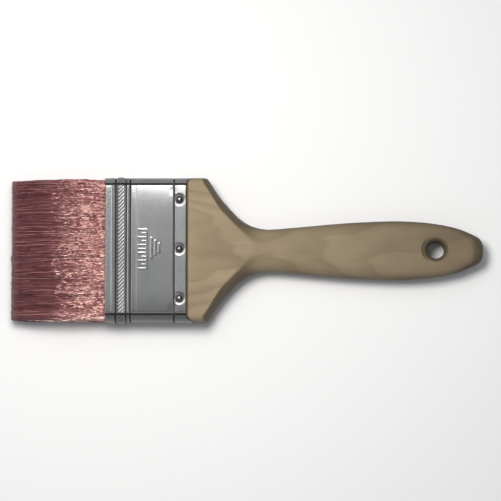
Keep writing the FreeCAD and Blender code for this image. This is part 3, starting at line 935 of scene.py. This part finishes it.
def narrow_strands(name, side, seed, count, diameter, material):
    """The outer filaments of one narrow side."""
    random = np.random.default_rng(seed)
    up = random.uniform(-0.93, 0.93, count)
    depth = random.uniform(0.0, 1.0, count)
    x = strand_x(STRAND_ROOT_X, tip_places(random, np.ones(count)))
    wide, thick = tuft_size(x)
    lively = liveliness(x, x, start=92.0, end=108.0, loss=0.8)
    clump = ((up + 1) * 8 + random.normal(0, 0.4, count)).clip(0).astype(int)
    z = up[:, None] * (thick - 0.2) + 0.14 * lively * waves(x, random, count, clump, 7.0, 18.0)
    y = wide - 0.1 - 0.8 * depth[:, None] - corner_drop(np.abs(z) - (thick - TUFT_CORNER))
    y = y + 0.16 * lively * waves(x, random, count, clump, 8.0, 20.0)
    radius = diameter / 2 * taper(x, random, count)
    return strand_mesh(name, x, side * y, z, radius, OUTER_SIDES, material, random)


def inner_tips(name, seed, count, diameter, material):
    """Short ends of the inner filaments, which show only at the trimmed tip."""
    random = np.random.default_rng(seed)
    across, up = random.uniform(-0.985, 0.985, count), random.uniform(-0.94, 0.94, count)
    start = TIP_X + 13.0
    clumps = 300
    column = ((across + 1) * 14 + random.normal(0, 0.2, count)).astype(int)
    clump = (column * 7 + ((up + 1) * 3.4).astype(int)) % clumps
    back = random.uniform(0.0, 2.2, clumps)[clump] + random.uniform(0.0, 0.9, count)
    x = start + (tip_places(random, up) + back - start)[:, None] * np.linspace(0.0, 1.0, 5)[None, :]
    wide, thick = tuft_size(x)
    y = across[:, None] * (wide - 0.3) + random.normal(0, 0.15, count)[:, None]
    z = up[:, None] * (thick - 0.3) + random.normal(0, 0.08, count)[:, None]
    radius = diameter / 2 * taper(x, random, count) * 1.1
    return strand_mesh(name, x, y, z, radius, INNER_SIDES, material, random)


def filament_core(material):
    """Packed inside of the tuft, just under the outer filaments: a box with rounded corners."""
    sides, squareness, cover = 200, 2 / 9, 0.95
    x = spaced(ROOT_END_X, (MOUTH_X, 3.0), (TIP_X + 5.0, 1.5))[:, None]
    wide, thick = (half - cover for half in tuft_size(x))
    turn = np.arange(sides) * 2 * math.pi / sides
    across, up = (np.sign(wave) * np.abs(wave) ** squareness for wave in (np.cos(turn), np.sin(turn)))
    points = np.stack([np.repeat(x, sides, axis=1), wide * across, thick * up], axis=-1)
    rings = np.arange(x.size * sides).reshape(-1, sides).tolist()
    faces = [tuple(reversed(rings[0])), tuple(rings[-1])]
    for first, second in zip(rings, rings[1:]):
        faces += wall(first, second)
    return new_piece("filament_core", points, faces, material)


def filament_finish(root, tip):
    """Glossy crimson filament, lighter near the ferrule, with painted glints where the crimp lies flat, and
    dusty at the flagged tip.
    """
    f = Finish("crimson_filament")
    strand = f.attribute("strand")
    x, _, _ = f.axes(f.place())
    along = 1 - x.step(TIP_X + 2.0, MOUTH_X)
    streak = f.noise(f.place((0.02, 1.1, 0.6)), detail=2.0)
    body = f.mix(along, root, tip)
    varied = f.mix(strand.step(0.15, 1.0) * 0.6, body, [c * 0.42 for c in tip])
    lit = f.mix((1 - strand.step(0.0, 0.2)) * 0.45, varied, (0.62, 0.33, 0.28))
    shaded = f.mix(streak.step(0.5, 0.75) * 0.4, lit, [c * 0.5 for c in tip])
    # painted glints on the flat crimps
    with_painted_glints = f.mix(f.attribute("flat_crimp") * 0.9, shaded, (0.8, 0.46, 0.41))
    dusty = (1 - x.step(TIP_X, TIP_X + 6.0)) * (0.05 + strand * 0.55)
    f.set(
        Base_Color=f.mix(dusty, with_painted_glints, (0.42, 0.26, 0.26)),
        Roughness=0.12 + strand * 0.07,
        Specular_IOR_Level=1.0,
        Specular_Tint=(1.0, 0.74, 0.7, 1.0),
        Coat_Weight=0.15,
        Coat_Roughness=0.12,
    )
    return f.material


def core_finish(tip):
    """Deep shade between packed filaments."""
    f = Finish("packed_filament_shade")
    lines = f.noise(f.place((0.03, 4.0, 4.0)), detail=3.0)
    f.set(
        Base_Color=f.mix(lines, [c * 0.25 for c in tip], [c * 0.8 for c in tip]),
        Roughness=0.6,
        Normal=f.bump(lines, 0.2, 0.8),
    )
    return f.material


# ---- inside --------------------------------------------------------------------------------------
def resin_finish(colour):
    """Cast amber resin with fine bubbles."""
    f = Finish("cast_resin")
    cloud = f.noise(f.place((0.2, 0.2, 0.2)), detail=3.0)
    bubble = f.noise(f.place((2.0, 2.0, 2.0)), detail=1.0).step(0.6, 0.7)
    f.set(
        Base_Color=f.mix(cloud, colour, [c * 0.6 for c in colour]),
        Roughness=0.2 + bubble * 0.3,
        Normal=f.bump(1 - bubble, 0.1, 0.5),
    )
    return f.material


def fibre_finish(colour):
    """Pressed fibre board of the spacer plugs."""
    f = Finish("pressed_fibre")
    fibre = f.noise(f.place((1.2, 0.5, 1.2)), detail=4.0, roughness=0.7)
    f.set(
        Base_Color=f.mix(fibre, colour, [c * 0.55 for c in colour]),
        Roughness=0.75 + fibre * 0.1,
        Normal=f.bump(fibre, 0.08, 0.7),
    )
    return f.material


# ---- add-on: settings ----------------------------------------------------------------------------
def colour_setting(name, description, default):
    return FloatVectorProperty(
        name=name, description=description, default=default, subtype="COLOR", min=0.0, max=1.0,
    )


class BrushSizes(PropertyGroup):
    """Sizes that a maker would change without changing the solids."""

    filament_diameter: FloatProperty(
        name="Filament diameter", description="Thickness of one outer filament", default=0.00036,
        unit="LENGTH",
    )
    filaments_per_face: IntProperty(
        name="Filaments per face", description="Outer filaments on each broad face", default=820, min=100,
    )
    filaments_per_side: IntProperty(
        name="Filaments per side", description="Outer filaments on each narrow side", default=240, min=20,
    )
    inner_ends: IntProperty(
        name="Inner ends", description="Ends of inner filaments at the trimmed tip", default=4200, min=100,
    )
    rope_pitch: FloatProperty(
        name="Rope pitch", description="Spacing of the rope bead's strokes", default=0.002, unit="LENGTH",
    )
    camera_tilt: FloatProperty(
        name="Camera tilt", description="Angle of the view from straight above", default=math.radians(7),
        subtype="ANGLE",
    )


class BrushColours(PropertyGroup):
    """Colours of the finishes."""

    wood_light: colour_setting("Light wood", "Early wood", (0.265, 0.208, 0.134))
    wood_dark: colour_setting("Dark wood", "Late wood and fibres", (0.175, 0.133, 0.081))
    steel: colour_setting("Steel", "Ferrule sheet", (0.64, 0.64, 0.625))
    nail: colour_setting("Nail", "Nail heads", (0.7, 0.7, 0.68))
    filament_root: colour_setting("Filament root", "Filament near the ferrule", (0.19, 0.046, 0.044))
    filament_tip: colour_setting("Filament tip", "Filament near the tip", (0.125, 0.037, 0.047))
    resin: colour_setting("Resin", "Setting of the filaments", (0.42, 0.27, 0.1))
    spacer: colour_setting("Spacer", "Spacer plugs", (0.4, 0.31, 0.2))
    floor: colour_setting("Floor", "Table under the brush", (0.68, 0.68, 0.68))


def sizes():
    return bpy.context.scene.brush_sizes


def colours():
    return bpy.context.scene.brush_colours


# ---- add-on: operators ---------------------------------------------------------------------------
class BRUSH_OT_stage(Operator):
    """Make the pale floor, the soft light and the camera"""

    bl_idname = "paint_brush.stage"
    bl_label = "Stage"

    def execute(self, context):
        add_floor()
        add_lights()
        add_surround()
        add_camera(sizes().camera_tilt)
        return {"FINISHED"}


class BRUSH_OT_ferrule(Operator):
    """Make the rolled steel ferrule in place of its plain sleeve"""

    bl_idname = "paint_brush.ferrule"
    bl_label = "Ferrule"

    def execute(self, context):
        steel = steel_finish(tuple(colours().steel))
        pitch = sizes().rope_pitch / MM
        band = spaced(
            MOUTH_X, (-71.0, 0.6), (ROPE_X - ROPE_HALF - 0.1, 0.15), (ROPE_X + ROPE_HALF + 0.1, 0.165),
            (PANEL_START_X, 0.15),
        )
        panel = spaced(
            PANEL_START_X, (-60.4, 0.14), (-57.8, 0.5), (-44.9, 0.27), (-39.6, 0.5), (NAILS_FROM_X, 0.15),
            (FACE_END_X, 0.26),
        )
        sheet_piece("ferrule_rope_band", band, columns=1120, pitch=pitch, material=steel, strips=4)
        sheet_piece("ferrule_panel", panel, columns=720, pitch=pitch, material=steel, strips=2)
        return {"FINISHED"}


class BRUSH_OT_nails(Operator):
    """Make the nails that hold the ferrule to the handle"""

    bl_idname = "paint_brush.nails"
    bl_label = "Nails"

    def execute(self, context):
        polished = nail_finish(tuple(colours().nail))
        for name in NAILS:
            nail_piece(name, polished)
        return {"FINISHED"}


class BRUSH_OT_handle(Operator):
    """Make the wooden handle"""

    bl_idname = "paint_brush.handle"
    bl_label = "Handle"

    def execute(self, context):
        handle_piece(wood_finish(tuple(colours().wood_light), tuple(colours().wood_dark)))
        return {"FINISHED"}


class BRUSH_OT_filaments(Operator):
    """Make the filaments, which bend outside the ferrule's mouth"""

    bl_idname = "paint_brush.filaments"
    bl_label = "Filaments"

    def execute(self, context):
        gloss = filament_finish(tuple(colours().filament_root), tuple(colours().filament_tip))
        thick = sizes().filament_diameter / MM
        half = sizes().filaments_per_face // 2
        front = [broad_strands(f"filaments_front_{k}", 1, 20 + k, half, thick, gloss) for k in (1, 2)]
        back = [broad_strands(f"filaments_back_{k}", -1, 30 + k, half, thick, gloss) for k in (1, 2)]
        left = narrow_strands("filaments_side_1", 1, 13, sizes().filaments_per_side, thick, gloss)
        right = narrow_strands("filaments_side_2", -1, 14, sizes().filaments_per_side, thick, gloss)
        tips = inner_tips("filament_inner_ends", 15, sizes().inner_ends, thick, gloss)
        core = filament_core(core_finish(tuple(colours().filament_tip)))
        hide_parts("filament_bank_front", "filament_root_front")
        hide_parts("filament_bank_back", "filament_root_back")
        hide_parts("filament_bank_middle", "filament_root_middle")
        for piece in (*front, *back, left, right, tips, core):
            lit_filaments().objects.link(piece)
            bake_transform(piece)
        return {"FINISHED"}


class BRUSH_OT_setting(Operator):
    """Finish the resin setting and the spacer plugs inside the ferrule"""

    bl_idname = "paint_brush.setting"
    bl_label = "Resin and spacers"

    def execute(self, context):
        resin, fibre = resin_finish(tuple(colours().resin)), fibre_finish(tuple(colours().spacer))
        for name, finish in (("resin_setting", resin), ("spacer_front", fibre), ("spacer_back", fibre)):
            materials = frame["nodes"][name].data.materials
            materials.clear()
            materials.append(finish)
        return {"FINISHED"}


# ---- stage ---------------------------------------------------------------------------------------
def add_floor():
    f = Finish("pale_floor")
    grain = f.noise(f.place((0.4, 0.4, 0.4)), detail=3.0)
    colour = tuple(colours().floor)
    f.set(
        Base_Color=f.mix(grain, colour, [c * 0.985 for c in colour]),
        Roughness=0.7,
        Specular_IOR_Level=0.2,
    )
    mesh = bpy.data.meshes.new("floor")
    reach = 6.0
    corners = [(-reach, -reach, 0), (reach, -reach, 0), (reach, reach, 0), (-reach, reach, 0)]
    mesh.from_pydata(corners, [], [(0, 1, 2, 3)])
    floor = bpy.data.objects.new("floor", mesh)
    bpy.context.scene.collection.objects.link(floor)
    mesh.materials.append(f.material)


def lit_filaments():
    """The pieces that the filament card shines on."""
    return bpy.data.collections.get("lit_filaments") or bpy.data.collections.new("lit_filaments")


def add_light(name, place, aim, size, power, colour=(1.0, 1.0, 1.0), seen_in="both"):
    """Rectangular lamp; seen_in tells whether it lights surfaces, shows in reflections, or both."""
    data = bpy.data.lights.new(name, "AREA")
    data.shape = "RECTANGLE"
    data.size, data.size_y = size
    data.energy = power
    data.color = colour
    light = bpy.data.objects.new(name, data)
    light.location = place
    towards = np.array(aim, float) - place
    light.rotation_mode = "QUATERNION"
    light.rotation_quaternion = Vector(towards).to_track_quat("-Z", "Y")
    light.visible_glossy = seen_in != "surfaces"
    light.visible_diffuse = seen_in != "reflections"
    bpy.context.scene.collection.objects.link(light)
    return light


def add_lights():
    """A near soft lamp, the cards that show in the metal and the filaments, a weak fill and daylight."""
    target, middle = (-0.04, 0.0, 0.0), (0.0, 0.0, 0.0)
    add_light("near_lamp", (-0.10, 0.10, 0.50), target, (0.2, 0.2), 2.8, (1.0, 0.98, 0.95), "surfaces")
    add_light(
        "reflected_card", (-0.04, 0.30, 0.66), target, (0.11, 0.2), 0.5, (1.0, 1.0, 0.98), "reflections",
    )
    card = add_light(
        "filament_card", (-0.07, -0.3, 0.55), (-0.08, 0, 0), (0.05, 0.3), 5.1, (1.0, 0.87, 0.82),
        "reflections",
    )
    card.light_linking.receiver_collection = lit_filaments()
    add_light("wide_fill", (0.5, -0.7, 1.5), middle, (1.2, 1.2), 1.2, (0.9, 0.94, 1.0))
    sky = add_light("even_daylight", (-0.4, 0.5, 1.5), middle, (1.0, 1.0), 0.5, seen_in="surfaces")
    sky.data.type = "SUN"
    sky.data.angle = math.radians(70)


def add_surround():
    """World that is bright where the metal's highlight comes from and dim round it."""
    bright_from = (-0.33, 0.42, 0.85)
    levels = (
        (0.0, 0.36), (0.53, 0.34), (0.7, 0.12), (0.8, 0.12), (0.865, 0.145), (0.93, 0.41), (0.985, 1.45),
    )
    world = bpy.data.worlds.new("dim_surround")
    bpy.context.scene.world = world
    world.use_nodes = True
    maker = NodeMaker(world.node_tree)
    where = maker.add("ShaderNodeTexCoord", output="Generated")
    towards = maker.add(
        "ShaderNodeVectorMath", {"operation": "DOT_PRODUCT"}, {0: where, 1: bright_from}, output="Value",
    )
    shade = maker.add("ShaderNodeValToRGB", sockets={"Fac": towards})
    stops = shade.socket.node.color_ramp.elements
    for _ in levels[2:]:
        stops.new(0.5)
    for stop, (place, level) in zip(stops, levels):
        stop.position = place
        stop.color = (level * 0.98, level, level * 1.04, 1)
    background = world.node_tree.nodes["Background"]
    maker.feed(background.inputs["Color"], shade)
    maker.feed(background.inputs["Strength"], 1.0)


def add_camera(tilt):
    """Long lens, almost straight above, leaning towards the near side."""
    frame_width, distance = 0.265, 2.0
    target = Vector((0.0021, 0.0002, AXIS_Z * MM))
    data = bpy.data.cameras.new("camera")
    data.sensor_width = 36.0
    data.lens = data.sensor_width * distance / frame_width
    camera = bpy.data.objects.new("camera", data)
    camera.location = target + Vector((0.0, -math.sin(tilt), math.cos(tilt))) * distance
    camera.rotation_euler = (tilt, 0.0, 0.0)
    bpy.context.scene.collection.objects.link(camera)
    bpy.context.scene.camera = camera


# ---- add-on: panel and registration --------------------------------------------------------------
OPERATORS = (
    BRUSH_OT_stage, BRUSH_OT_ferrule, BRUSH_OT_nails, BRUSH_OT_handle, BRUSH_OT_filaments, BRUSH_OT_setting,
)


class BRUSH_PT_panel(Panel):
    """Lists the brush's sizes, colours and pieces"""

    bl_idname = "BRUSH_PT_panel"
    bl_label = "Flat Paint Brush"
    bl_space_type = "VIEW_3D"
    bl_region_type = "UI"
    bl_category = "Brush"

    def draw(self, context):
        for settings in (sizes(), colours()):
            box = self.layout.box()
            for name in settings.__annotations__:
                box.prop(settings, name)
        for operator in OPERATORS:
            self.layout.operator(operator.bl_idname)


CLASSES = (BrushSizes, BrushColours, *OPERATORS, BRUSH_PT_panel)


def register():
    for item in CLASSES:
        bpy.utils.register_class(item)
    bpy.types.Scene.brush_sizes = PointerProperty(type=BrushSizes)
    bpy.types.Scene.brush_colours = PointerProperty(type=BrushColours)


def unregister():
    del bpy.types.Scene.brush_colours
    del bpy.types.Scene.brush_sizes
    for item in reversed(CLASSES):
        bpy.utils.unregister_class(item)


def main():
    """Builds the whole brush."""
    register()
    bpy.context.scene.view_settings.view_transform = "Standard"
    bpy.ops.paint_brush.stage()
    bpy.ops.paint_brush.ferrule()
    bpy.ops.paint_brush.nails()
    bpy.ops.paint_brush.handle()
    bpy.ops.paint_brush.filaments()
    bpy.ops.paint_brush.setting()


if __name__ == "__main__":
    main()
